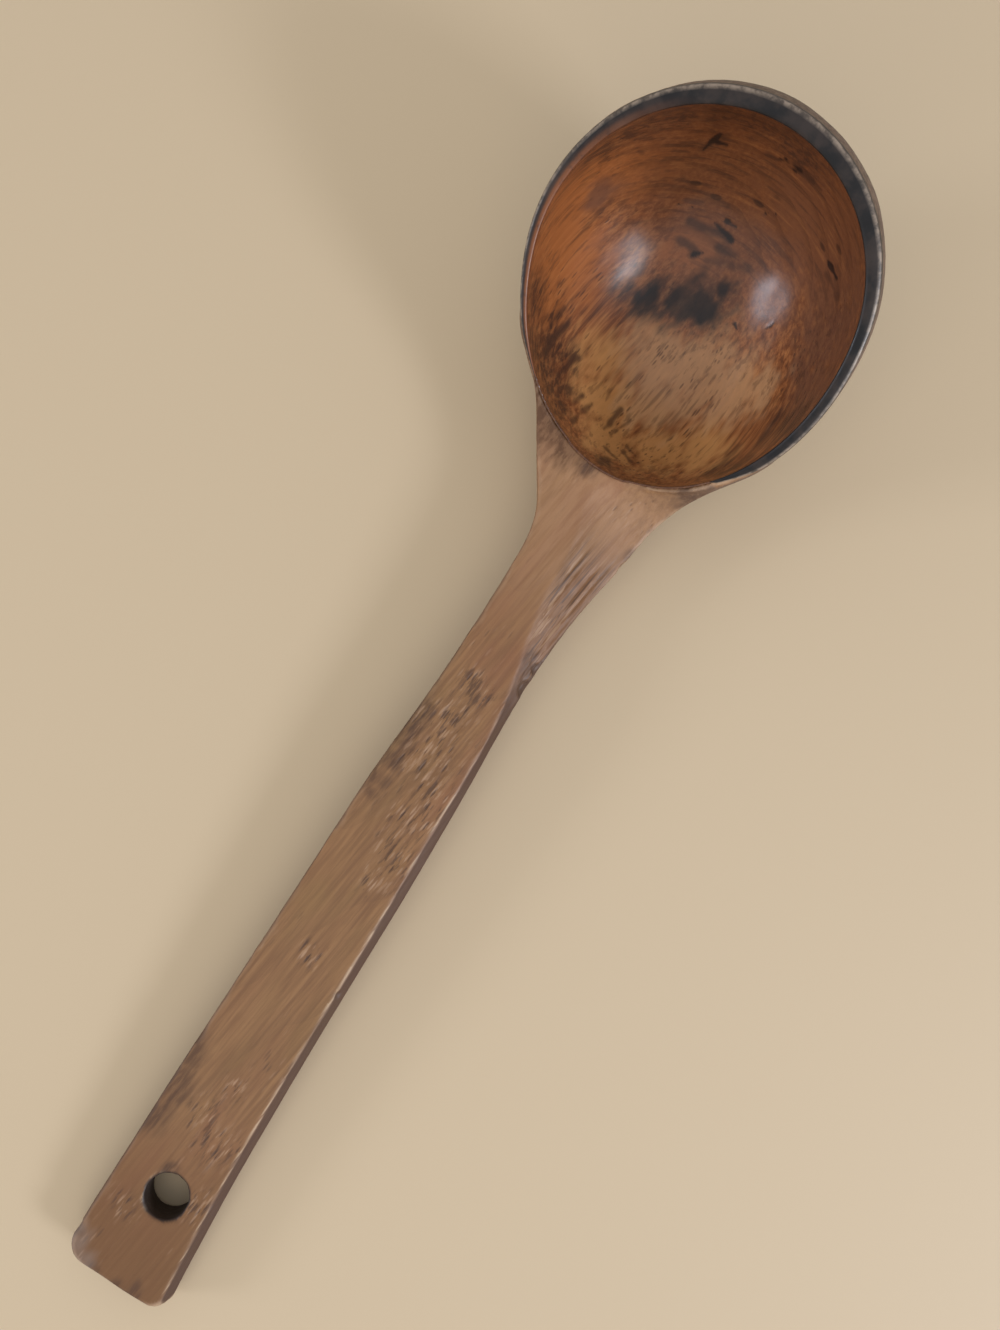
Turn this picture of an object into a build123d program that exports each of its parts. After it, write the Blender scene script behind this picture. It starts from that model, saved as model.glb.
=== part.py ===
from build123d import *
import os
from math import atan2, cos, degrees, pi, radians, sin, sqrt

# A wooden ladle carved from one billet, as it rests on a table: bowl to +X, handle to -X,
# left side to +Y. Lengths are in millimetres, angles in degrees.

# Bowl, outside: a ball whose back half is drawn out towards the handle, a little to the right
bowl_radius = 38.7
bowl_stretch = 1.21
bowl_turn = 15.0
rim_height = 9.2
rim_tilt = 40.0

# Hollow: the carver left the wall thick at the tip and thin on the left
tip_wall = 3.5
right_wall = 2.2
left_wall = 2.2
floor_wall = 7.0
hollow_stretch = 1.22
hollow_turn = 12.0

# Shoulder and heel, where the bowl draws in to the handle
flank_back = 26.0
flank_swell = 0.5
shoulder_back = 36.0
shoulder_width = 47.6
shoulder_sway = 3.3
shoulder_rise = 0.3
heel_reach = 41.5
heel_height = 20.2
heel_width = 36.4
heel_thickness = 13.5
heel_sway = 3.7
heel_tilt = 22.0
heel_squareness = 2.4

# Handle: reach is measured from the bowl's centre, sway is to the right of it
neck_reach = 54.4
neck_width = 25.4
neck_sway = 6.5
neck_height = 18.0
neck_thickness = 11.0
neck_squareness = 3.0
throat_reach = 70.4
throat_width = 20.0
throat_sway = 6.3
throat_squareness = 3.4
waist_reach = 100.4
waist_width = 18.7
waist_sway = 5.3
waist_squareness = 3.8
hold_reach = 124.4
hold_width = 21.1
hold_sway = 5.0
grip_reach = 163.4
grip_width = 22.6
grip_sway = 4.8
grip_squareness = 4.2
tail_reach = 206.4
tail_width = 23.8
tail_sway = 4.6
end_reach = 253.9
end_width = 26.6
end_sway = 5.7
end_thickness = 7.5
end_squareness = 4.5
end_corner = 5.5
end_slack = 0.3
crown_share = 0.25

# Flat that the knife left down the right side: how far in its ridge lies, and how deep it falls
lip_flat = (1.5, 0.0)
shoulder_flat = (4.0, 0.6)
heel_flat = (16.0, 3.2)
neck_flat = (14.0, 4.8)
throat_flat = (9.6, 4.4)
waist_flat = (2.2, 3.2)
grip_flat = (2.0, 3.0)

# Hanging hole
hole_diameter = 10.0
hole_setback = 21.8

# Coats: dark lacquer on the lip, clear lacquer in the hollow
coat = 0.4
rim_coat_back = 34.0

# Where the neck starts inside the bowl's wall, and how far under its faces it stays there
bowl_steps = (10, 17)
tuck = 0.8
lip_drop = 0.7

# Fineness of the carved skin
skin_rows = 60
skin_crowding = 1.3
outline_points = 25
skin_tolerance = 0.004

# Worked out from the sizes above
rim_radius = sqrt(bowl_radius**2 - rim_height**2)
hollow_rim = rim_radius - (left_wall + right_wall) / 2
hollow_shift_left = (right_wall - left_wall) / 2
hollow_shift_back = tip_wall - (left_wall + right_wall) / 2
hollow_depth = rim_height + bowl_radius - floor_wall
hollow_radius = (hollow_rim**2 + hollow_depth**2) / (2 * hollow_depth)
tilt = radians(rim_tilt)
bowl_length = bowl_stretch * bowl_radius
turn = radians(bowl_turn)
back_lean = (cos(turn) * sin(tilt)) ** 2
bowl_height = sqrt(bowl_radius**2 * (1 - back_lean) + bowl_length**2 * back_lean)
handle_slope = degrees(atan2(neck_height - end_thickness, end_reach - neck_reach))
beyond = 4 * bowl_radius

# Planes of the bowl: one square to the rim with x to the left and y up, one lying in the rim
bowl_plane = Plane(origin=(0, 0, bowl_height), x_dir=(0, 1, 0), z_dir=(cos(tilt), 0, sin(tilt)))
rim_axes = Plane(origin=bowl_plane.origin, x_dir=bowl_plane.z_dir, z_dir=bowl_plane.y_dir)


def along_handle(reach):
    """Height of the handle's top and its thickness at a distance from the bowl's centre."""
    share = (reach - neck_reach) / (end_reach - neck_reach)
    height = neck_height + (end_thickness - neck_height) * share
    thickness = neck_thickness + (end_thickness - neck_thickness) * share
    return height, thickness


def bowl_section(back):
    """Middle, half width and depth of the ball where a plane square to the rim cuts it."""
    squeeze = 1 / bowl_stretch**2
    wide = cos(turn) ** 2 + sin(turn) ** 2 * squeeze
    middle = -back * cos(turn) * sin(turn) * (1 - squeeze) / wide
    depth = sqrt(bowl_radius**2 - back**2 * (cos(turn) ** 2 * squeeze + sin(turn) ** 2) + wide * middle**2)
    return middle, depth / sqrt(wide), depth


def bowl_station(back, swell):
    """Left, right and keel points of the bowl, the shape of the outline and the flat there."""
    middle, half, depth = bowl_section(back)
    depth -= tuck
    half += swell
    top = rim_height - lip_drop
    plane = bowl_plane.offset(-back)
    span = half * sqrt(1 - (top / depth) ** 2)
    left = plane.from_local_coords((middle + span, top, 0))
    right = plane.from_local_coords((middle - span, top, 0))
    keel = plane.from_local_coords((middle, -depth, 0))
    return left, right, keel, Vector(top, top / depth, 2), Vector(*lip_flat, back)


def shoulder_station():
    """The same where the bowl starts to draw in, wider than the ball."""
    depth = bowl_section(shoulder_back)[2] - shoulder_rise
    top = rim_height - lip_drop
    plane = bowl_plane.offset(-shoulder_back)
    half = shoulder_width / 2
    left = plane.from_local_coords((half - shoulder_sway, top, 0))
    right = plane.from_local_coords((-half - shoulder_sway, top, 0))
    keel = plane.from_local_coords((-shoulder_sway, -depth, 0))
    return left, right, keel, Vector(top, top / depth, 2), Vector(*shoulder_flat, shoulder_back)


def handle_station(reach, width, sway, height, thickness, lean, squareness, flat):
    """The same on the handle: a flat top with rounded lower edges."""
    middle = Vector(-reach, -sway, height)
    half = Vector(0, width / 2, 0)
    angle = radians(lean)
    keel = middle - Vector(-sin(angle), 0, cos(angle)) * thickness
    shape = Vector(thickness * crown_share, crown_share, squareness)
    return middle + half, middle - half, keel, shape, Vector(*flat, reach)


def stations():
    """Every station from inside the bowl's wall back to the handle's end."""
    rows = [bowl_station(back, -tuck) for back in bowl_steps]
    rows.append(bowl_station(flank_back, flank_swell))
    rows.append(shoulder_station())
    heel = (heel_reach, heel_width, heel_sway, heel_height, heel_thickness)
    rows.append(handle_station(*heel, heel_tilt, heel_squareness, heel_flat))
    for reach, width, sway, squareness, flat in (
        (neck_reach, neck_width, neck_sway, neck_squareness, neck_flat),
        (throat_reach, throat_width, throat_sway, throat_squareness, throat_flat),
        (waist_reach, waist_width, waist_sway, waist_squareness, waist_flat),
        (hold_reach, hold_width, hold_sway, waist_squareness, grip_flat),
        (grip_reach, grip_width, grip_sway, grip_squareness, grip_flat),
        (tail_reach, tail_width, tail_sway, grip_squareness, grip_flat),
        (end_reach, end_width, end_sway, end_squareness, grip_flat),
    ):
        place = (reach, width, sway, *along_handle(reach))
        rows.append(handle_station(*place, handle_slope, squareness, flat))
    return rows


def outline(left, right, keel, shape, flat):
    """Ridge point of a section, and points from its left corner under the keel to its right."""
    top, ratio, power = shape
    inset, drop, _ = flat
    middle = (left + right) * 0.5
    across = (left - right).normalized()
    up = (middle - keel).normalized()
    corner = (left - right).length / 2
    above = top / ratio
    below = (middle - keel).length - top
    half_width = corner / (1 - ratio**power) ** (1 / power)
    right_height = top - drop
    right_span = above if right_height > 0 else below
    right_reach = half_width * (1 - abs(right_height / right_span) ** power) ** (1 / power)
    first = atan2(top, corner)
    last = -pi - atan2(right_height, right_reach)
    points = []
    for i in range(outline_points):
        angle = first + (last - first) * i / (outline_points - 1)
        height = above if sin(angle) > 0 else below
        size = (abs(cos(angle)) / half_width) ** power + (abs(sin(angle)) / height) ** power
        radius = size ** (-1 / power)
        points.append(middle + up * (radius * sin(angle) - top) + across * (radius * cos(angle)))
    return right + across * inset, points


def spacing(rows):
    """How far along each row of points lies, from 0 to 1, by the mean distance between rows."""
    ticks = [0.0]
    for here, there in zip(rows, rows[1:]):
        steps = [(after - before).length for before, after in zip(here, there)]
        ticks.append(ticks[-1] + sum(steps) / len(steps))
    return [tick / ticks[-1] for tick in ticks]


def neck_and_handle():
    """Flare, neck and handle: a smooth skin below, a flat top and the knife's flat."""
    marks = stations()
    ticks = spacing([[(mark[0] + mark[1]) * 0.5] for mark in marks])
    guides = [Edge.make_spline(points, parameters=ticks).geom_adaptor() for points in zip(*marks)]
    ridge_points = []
    grid = []
    for i in range(skin_rows):
        t = (i / (skin_rows - 1)) ** skin_crowding
        ridge_point, points = outline(*[Vector(guide.Value(t)) for guide in guides])
        ridge_points.append(ridge_point)
        grid.append(points)
    skin = Face.make_surface_from_array_of_points(grid, tol=skin_tolerance)
    front, left, end, right = skin.edges()
    ticks = spacing(grid)
    ridge = Edge.make_spline(ridge_points, parameters=ticks)
    ridge_back = Edge.make_spline(ridge_points[::-1], parameters=[1 - tick for tick in ticks[::-1]])
    top = Face.make_surface_from_curves(left, ridge)
    flat = Face.make_surface_from_curves(ridge_back, right)
    faces = [skin, top, flat]
    for edge, tip in ((front, ridge @ 0), (end, ridge @ 1)):
        lines = Polyline(edge @ 0, tip, edge @ 1)
        faces.append(Face(Wire([edge, *lines.edges()])))
    return Solid(Shell(faces))


def egg(radius, length):
    """Egg lying along X: round in front of its centre, drawn out to a length behind it."""
    front = CenterArc((0, 0), radius, 0, 90)
    back = EllipticalCenterArc((0, 0), length, radius, start_angle=90, arc_size=90)
    profile = make_face(Curve() + [front, back, Line(back @ 1, front @ 0)])
    return revolve(Plane.XZ * profile, Axis.X, 360)


def hollow(growth=0.0):
    """Cutter for the hollow: an egg off the bowl's centre and a little askew."""
    center = rim_height - hollow_depth + hollow_radius
    place = rim_axes.location * Pos(-hollow_shift_back, hollow_shift_left, center)
    return place * Rot(0, 0, hollow_turn) * egg(hollow_radius + growth, hollow_stretch * hollow_radius + growth)


def above_rim(height, back=beyond):
    """Block that fills the space above a height over the bowl's centre, square to the rim."""
    return rim_axes.location * Pos(beyond - back, 0, height + beyond / 2) * Box(2 * beyond, 2 * beyond, beyond)


def end_corners():
    """Cutter that rounds the two corners of the handle's end, seen from above."""
    block = Pos(-end_reach, -end_sway, 0) * Rectangle(2 * end_corner, 2 * end_width)
    length = 4 * end_corner
    kept = RectangleRounded(length, end_width + 2 * end_slack, end_corner)
    kept = Pos(-end_reach + length / 2, -end_sway, 0) * kept
    return Pos(0, 0, -beyond) * extrude(block - kept, 2 * beyond)


def hanging_hole():
    """Cutter for the hole near the handle's end, square to its top."""
    height = along_handle(end_reach - hole_setback)[0]
    place = Pos(-end_reach + hole_setback, -end_sway, height) * Rot(0, -handle_slope, 0)
    return place * Cylinder(hole_diameter / 2, beyond)


def carve():
    """The wood and its two coats, cut so that they meet face to face."""
    ball = rim_axes.location * Rot(0, 0, bowl_turn) * egg(bowl_radius, bowl_length)
    handle = neck_and_handle()
    opened = hollow()
    lined = hollow(coat)
    body = (ball - above_rim(rim_height - coat)) + handle
    carved_wood = body - lined - hanging_hole() - end_corners()
    bowl_lacquer = (body & lined) - opened
    lip = ball & above_rim(rim_height - coat, rim_coat_back)
    rim_lacquer = lip - above_rim(rim_height) - opened - handle
    return {"carved_wood": carved_wood, "rim_lacquer": rim_lacquer, "bowl_lacquer": bowl_lacquer}


def main():
    """Build the pieces, set the ladle on its table and write one file for each."""
    os.makedirs("parts", exist_ok=True)
    pieces = carve()
    box = Compound(list(pieces.values())).bounding_box()
    home = Pos(-box.center().X, -box.center().Y, -box.min.Z)
    for name, piece in pieces.items():
        export_step(home * piece, f"parts/{name}.step")
        print(name, "volume", round(piece.volume, 1))
    print("size", [round(value, 2) for value in box.size])
    print("bowl centre", (home * Pos(0, 0, bowl_height)).position)


main()
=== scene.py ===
from math import cos, pi, radians, sin

import bmesh
import bpy
import numpy as np
from mathutils import Matrix, Vector, noise
from mathutils.bvhtree import BVHTree


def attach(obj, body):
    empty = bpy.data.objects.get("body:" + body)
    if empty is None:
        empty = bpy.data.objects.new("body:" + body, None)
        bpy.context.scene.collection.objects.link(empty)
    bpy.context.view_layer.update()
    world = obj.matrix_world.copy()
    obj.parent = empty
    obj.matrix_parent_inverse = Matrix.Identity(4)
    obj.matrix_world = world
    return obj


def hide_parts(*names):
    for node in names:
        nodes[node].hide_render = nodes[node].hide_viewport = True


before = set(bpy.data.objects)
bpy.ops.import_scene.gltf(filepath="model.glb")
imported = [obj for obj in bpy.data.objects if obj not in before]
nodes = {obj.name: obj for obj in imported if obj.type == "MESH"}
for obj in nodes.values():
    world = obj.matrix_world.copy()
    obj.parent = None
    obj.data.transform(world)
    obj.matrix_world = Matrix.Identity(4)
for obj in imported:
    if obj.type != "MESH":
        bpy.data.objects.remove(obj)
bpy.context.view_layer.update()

# A carved wooden ladle: one piece of oiled wood, dark lacquer on the lip, clear lacquer in the hollow
mm = 0.001
scene = bpy.context.scene

# The bowl: where its centre lies, and how the rim leans
bowl = {
    "centre": Vector((107.6, 0.3, 42.0)) * mm,
    "rimTilt": radians(40.0),
    "lipHeight": 9.2 * mm,  # lip above the centre, square to the rim
}
rimForward = Vector((cos(bowl["rimTilt"]), 0, sin(bowl["rimTilt"])))
rimUp = Vector((-sin(bowl["rimTilt"]), 0, cos(bowl["rimTilt"])))
lipCentre = bowl["centre"] + rimUp * bowl["lipHeight"]


def hexColour(text):
    # sRGB hex to linear
    parts = [int(text[i:i + 2], 16) / 255 for i in (1, 3, 5)]
    return [c / 12.92 if c <= 0.04045 else ((c + 0.055) / 1.055) ** 2.4 for c in parts] + [1.0]


def addNode(tree, kind, settings=None, links=None):
    # text keys set the node, number keys set its inputs
    node = tree.nodes.new(kind)
    for key, value in (settings or {}).items():
        if isinstance(key, int):
            node.inputs[key].default_value = value
        else:
            setattr(node, key, value)
    for key, source in (links or {}).items():
        tree.links.new(source, node.inputs[key])
    return node


def newMaterial(name):
    material = bpy.data.materials.new(name)
    material.use_nodes = True
    tree = material.node_tree
    tree.nodes.clear()
    return material, tree


def newPiece(name, mesh, material, slot, *replaced):
    piece = bpy.data.objects.new(name, mesh)
    scene.collection.objects.link(piece)
    piece.data.materials.clear()
    piece.data.materials.append(material)
    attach(piece, "root")
    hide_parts(*replaced)
    return piece


print("frame loaded")

# Stage: a pale floor that runs out of sight, and a soft sky
stage = {"floor": "#cdb898", "floorRough": 0.7, "size": 6.0, "sky": "#f4f6fa", "skyStrength": 0.60}

# Matt painted board: one pale tone without gloss, so that nothing on it draws the eye
floorMaterial, tree = newMaterial("matt painted board")
shader = addNode(tree, "ShaderNodeBsdfPrincipled", {0: hexColour(stage["floor"]), 2: stage["floorRough"]})
addNode(tree, "ShaderNodeOutputMaterial", None, {0: shader.outputs[0]})
floorMesh = bpy.data.meshes.new("floor")
half = stage["size"] / 2
corners = [(-half, -half, 0), (half, -half, 0), (half, half, 0), (-half, half, 0)]
floorMesh.from_pydata(corners, [], [(0, 1, 2, 3)])
floorMesh.materials.append(floorMaterial)
floor = bpy.data.objects.new("floor", floorMesh)
scene.collection.objects.link(floor)

world = bpy.data.worlds.new("soft sky")
scene.world = world
world.use_nodes = True
world.node_tree.nodes.clear()
skyLight = {0: hexColour(stage["sky"]), 1: stage["skyStrength"]}
sky = addNode(world.node_tree, "ShaderNodeBackground", skyLight)
addNode(world.node_tree, "ShaderNodeOutputWorld", None, {0: sky.outputs[0]})

# Each lamp gives light, a reflection or both: the wide fill would veil the gloss
lamps = {
    "windowRight": {"at": (-0.12, -1.20, 0.67), "size": (0.33, 0.27), "power": 7.6, "colour": "#e9efff",
                    "lights": True, "mirrored": True},
    "sheenRight": {"at": (-0.10, -1.25, 0.62), "size": (0.75, 0.55), "power": 22.0, "colour": "#f6f6fb",
                   "lights": False, "mirrored": True},
    "windowLeft": {"at": (-0.74, 1.0, 0.46), "size": (0.34, 0.27), "power": 5.0, "colour": "#eaf0ff",
                   "lights": True, "mirrored": True},
    "doorway": {"at": (-1.5, -0.2, 1.5), "size": (2.2, 2.2), "power": 17.0, "colour": "#fff6ea",
                "lights": True, "mirrored": False},
}
for name, lamp in lamps.items():
    data = bpy.data.lights.new(name, "AREA")
    data.shape = "RECTANGLE"
    data.size, data.size_y = lamp["size"]
    data.energy = lamp["power"]
    data.color = hexColour(lamp["colour"])[:3]
    light = bpy.data.objects.new(name, data)
    scene.collection.objects.link(light)
    light.location = lamp["at"]
    aim = bowl["centre"] - Vector(lamp["at"])
    light.rotation_euler = aim.to_track_quat("-Z", "Y").to_euler()
    light.visible_diffuse = lamp["lights"]
    light.visible_glossy = lamp["mirrored"]

# Camera: over the handle, looking almost straight down
camera = {
    "at": Vector((-13.94, -13.60, 247.8)) * mm,
    "forward": Vector((0.1276, 0.0315, -0.9912)),
    "up": Vector((0.8424, 0.5242, 0.1252)),
    "lens": 27.07,
    "sensor": 36.0,
    "near": 10 * mm,
}
cameraData = bpy.data.cameras.new("camera")
cameraData.lens = camera["lens"]
cameraData.sensor_width = camera["sensor"]
cameraData.clip_start = camera["near"]
cameraObject = bpy.data.objects.new("camera", cameraData)
scene.collection.objects.link(cameraObject)
back = -camera["forward"].normalized()
right = camera["up"].cross(back).normalized()
turn = Matrix((right, back.cross(right), back)).transposed().to_4x4()
cameraObject.matrix_world = Matrix.Translation(camera["at"]) @ turn
scene.camera = cameraObject
scene.view_settings.view_transform = "Standard"
print("stage, lamps and camera placed")

# Wood: grain runs along the handle, turned a little to the right of it
grain = {"turn": radians(8.0)}


def meshArrays(mesh):
    count = len(mesh.vertices)
    places = np.empty(count * 3)
    mesh.vertices.foreach_get("co", places)
    normals = np.empty(count * 3)
    mesh.vertex_normals.foreach_get("vector", normals)
    return places.reshape(-1, 3), normals.reshape(-1, 3)


def setPlaces(mesh, places):
    mesh.vertices.foreach_set("co", places.ravel())
    mesh.update()


def setMask(mesh, name, values):
    mask = mesh.attributes.new(name, "FLOAT", "POINT")
    mask.data.foreach_set("value", np.ascontiguousarray(values, dtype=np.float32))


def meshEdges(mesh):
    ends = np.empty(len(mesh.edges) * 2, dtype=np.int64)
    mesh.edges.foreach_get("vertices", ends)
    return ends.reshape(-1, 2)


def neighbourMean(values, edges):
    # mean of each point's neighbours along the mesh
    count = len(values)
    tally = np.bincount(edges.ravel(), minlength=count)
    columns = []
    for k in range(values.shape[1]):
        total = np.bincount(edges[:, 0], values[edges[:, 1], k], count)
        total += np.bincount(edges[:, 1], values[edges[:, 0], k], count)
        columns.append(total / tally)
    return np.stack(columns, axis=1)


def ease(values, low, high):
    t = np.clip((values - low) / (high - low), 0, 1)
    return t * t * (3 - 2 * t)


def alongGrain(places):
    # places in millimetres, turned so that x runs along the grain
    c, s = cos(grain["turn"]), sin(grain["turn"])
    x, y, z = (places / mm).T
    return np.stack([c * x - s * y, s * x + c * y, z], axis=1)


def ripple(places, lengths, seed):
    # smooth noise with its own length in millimetres along each axis
    scaled = places / np.array(lengths) + seed
    return np.array([noise.noise(p) for p in scaled.tolist()])


def surfaceDistance(places, *names):
    # how far each place lies from the nearest of these solids, or 1 m where none is near
    away, reach = 1.0, 2 * mm
    found = np.full(len(places), away)
    for name in names:
        solid = BVHTree.FromObject(nodes[name], bpy.context.evaluated_depsgraph_get())
        near = [solid.find_nearest(p, reach)[3] for p in places.tolist()]
        found = np.minimum(found, [away if d is None else d for d in near])
    return found


# Painted patches: how far their edges stray, over which lengths in millimetres, and a seed
patchEdge = {
    "broad": (0.45, (9, 3, 3), 4.4),
    "fine": (0.25, (3, 1.2, 1.2), 7.9),
    "fade": (0.25, 1.1),  # shares of the radius
}


def blobs(places, spots, grainPlaces):
    # soft patches with ragged edges, 1 at their middles
    cover = np.zeros(len(places))
    ragged = np.zeros(len(places))
    for amount, lengths, seed in (patchEdge["broad"], patchEdge["fine"]):
        ragged += amount * ripple(grainPlaces, lengths, seed)
    for sx, sy, sz, radius in spots:
        away = np.sqrt((((places / mm) - (sx, sy, sz)) ** 2).sum(axis=1)) / radius
        cover = np.maximum(cover, 1 - ease(away + ragged, *patchEdge["fade"]))
    return cover


# Carved wood: the whole form, worn soft at its edges, then sunk a little where the coats lie on it
woodForm = {
    "voxel": 0.5 * mm,
    "relax": (8, 0.50, 0.53),  # rounds, and how far each goes in and out again
    "bendRounds": 6,
    "wornBend": (0.03, 0.12),
    "softening": (10, 0.5),  # extra rounds on the edges that hands have worn
    "coatDepth": 0.42 * mm,
    "coatReach": (0.135 * mm, 0.45 * mm),
    # knife work: depth, lengths in millimetres along and across the grain, seed
    "toolMarks": (0.13 * mm, (24, 8, 8), 3.1),
    "outerMarks": (0.3 * mm, (16, 10, 10), 15.2),  # broad flats round the outside of the bowl
    "torn": (0.2 * mm, (5, 0.9, 0.9), 11.7),  # grain torn out in patches on top of the handle
    "tornCut": (0.05, 0.45),
    "grooves": (0.36 * mm, (16, 0.8, 0.8), 5.3),  # grain left open on the neck's right flat
    "grooveCut": (-0.05, 0.35),
    "nickEdge": (0.4, 1.0),
    "nickFull": 0.5,  # millimetres deep, from where a nick is stained in full
    # spans along the ladle in millimetres, over which something comes in or goes out
    "span": {"facetIn": (8, 16), "facetOut": (42, 58), "topOut": (62, 74), "outerIn": (70, 90),
             "neckIn": (18, 48), "endIn": (95, 140), "endFaceIn": (136, 143), "shadedFlankOut": (20, 60),
             "arrisOut": (-6, 12)},
    "outerSweep": 0.35,  # the bowl's sides count as outer sooner than its middle
    "facetEdge": (0.2, 2.2),  # the flat comes in over these millimetres to the right of the ridge
    # how much a surface faces a side, from where it starts to count to where it counts in full
    "facing": {"top": (0.3, 0.8), "facet": (0.25, 0.6), "right": (0.45, 0.85), "left": (0.35, 0.8),
               "endFace": (0.3, 0.7), "run": (0.0, 0.3), "arris": (0.2, 0.5), "boreShade": (0.2, 0.6),
               "unworn": (0.0, 0.3)},
    "leftShade": 0.8,
    "edgeBend": (0.035, 0.07),
    "leftWear": 0.75,  # share of the wear that the left edges are spared
    "arrisTurn": (0.42, 0.17),  # how far the worn arris turns to the right, and its spread
    "holeWear": (6.5, 8),  # no wear shows within this far of the hole's middle, in millimetres
    "holeReach": 0.8,
    # painted sheen: the end corner, rubbed shiny, is given a grey colour for its gloss
    "cornerSheen": [(-142, 8, 6, 6), (-145, 3, 6, 4)],  # end corner rubbed grey and shiny
    "hole": (-124.3, -5.4, 5.0),  # middle and radius, in millimetres
    # ridge along the top of the neck, where its right flat begins: x, y
    "ridge": [(70, -3), (60.5, -4), (44.5, -5), (34, -6.5), (24, -8), (12.5, -12.5), (4, -17)],
    # where dense torn grain lies on top: x, y, z, radius
    "tornPatches": [(-1, -3, 15, 9), (-11, -4, 15, 10), (-18, -10, 14, 8), (-26, -9, 14, 8),
                    (-33, -8, 13, 7), (-42, -8, 13, 6), (8, -5, 16, 6), (-110, -10, 9, 7), (-105, -3, 10, 6),
                    (-97, -6, 10, 4), (-122, -12, 8, 6), (-4, 4, 15, 5), (-63, -4, 12, 4), (-131, 2, 8, 5)],
    # dark hand stains: x, y, z, radius
    "stains": [(-2, 3, 15, 3.5), (-7, 3, 15, 4), (-11, 4, 14, 4.5), (-16, 4, 14, 4.5),
               (-21, 4, 14, 4), (-25, 4, 14, 3), (-103, 8, 9, 8), (-95, 8, 10, 6),
               (-111, 6, 8, 6), (-135, 10, 6, 5), (-128, 10, 6, 3), (14, -14, 13, 4), (20, -12, 14, 4),
               (-120, -3, 9, 3), (-146, -10, 6, 4), (67, 0, 20, 4), (72, -23, 23, 5),
               (-147, -6, 7, 3.5), (-147, 0, 7, 3.5), (-139, 11, 7, 3.5), (-134, 11, 7, 3.5),
               (61, -21, 17, 4.5), (55, -20, 15, 3.5)],
    # lacquer that ran over the neck's left shoulder: x, y, z, radius
    "runs": [(80, 28, 30, 10), (77, 25, 28, 10), (74, 22, 26, 10), (71, 17, 24, 9), (68, 12, 22, 7),
             (67, 7, 21, 5), (66, 2, 20, 3.5)],
    # small nicks on the edges: x, y, z, radius, depth
    "nicks": [(14.5, -14, 12.5, 2.6, 0.9), (20, -14, 13, 1.8, 0.7), (9, -15.5, 12, 1.7, 0.6),
              (52, -19.5, 12.5, 2, 0.5), (-67.5, -13.5, 10.5, 1.6, 0.5), (66, 17, 21, 1.8, 0.5),
              (-98, 4.5, 8.5, 1.6, 0.4), (-140, 7, 7, 2, 0.4)],
}


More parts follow.
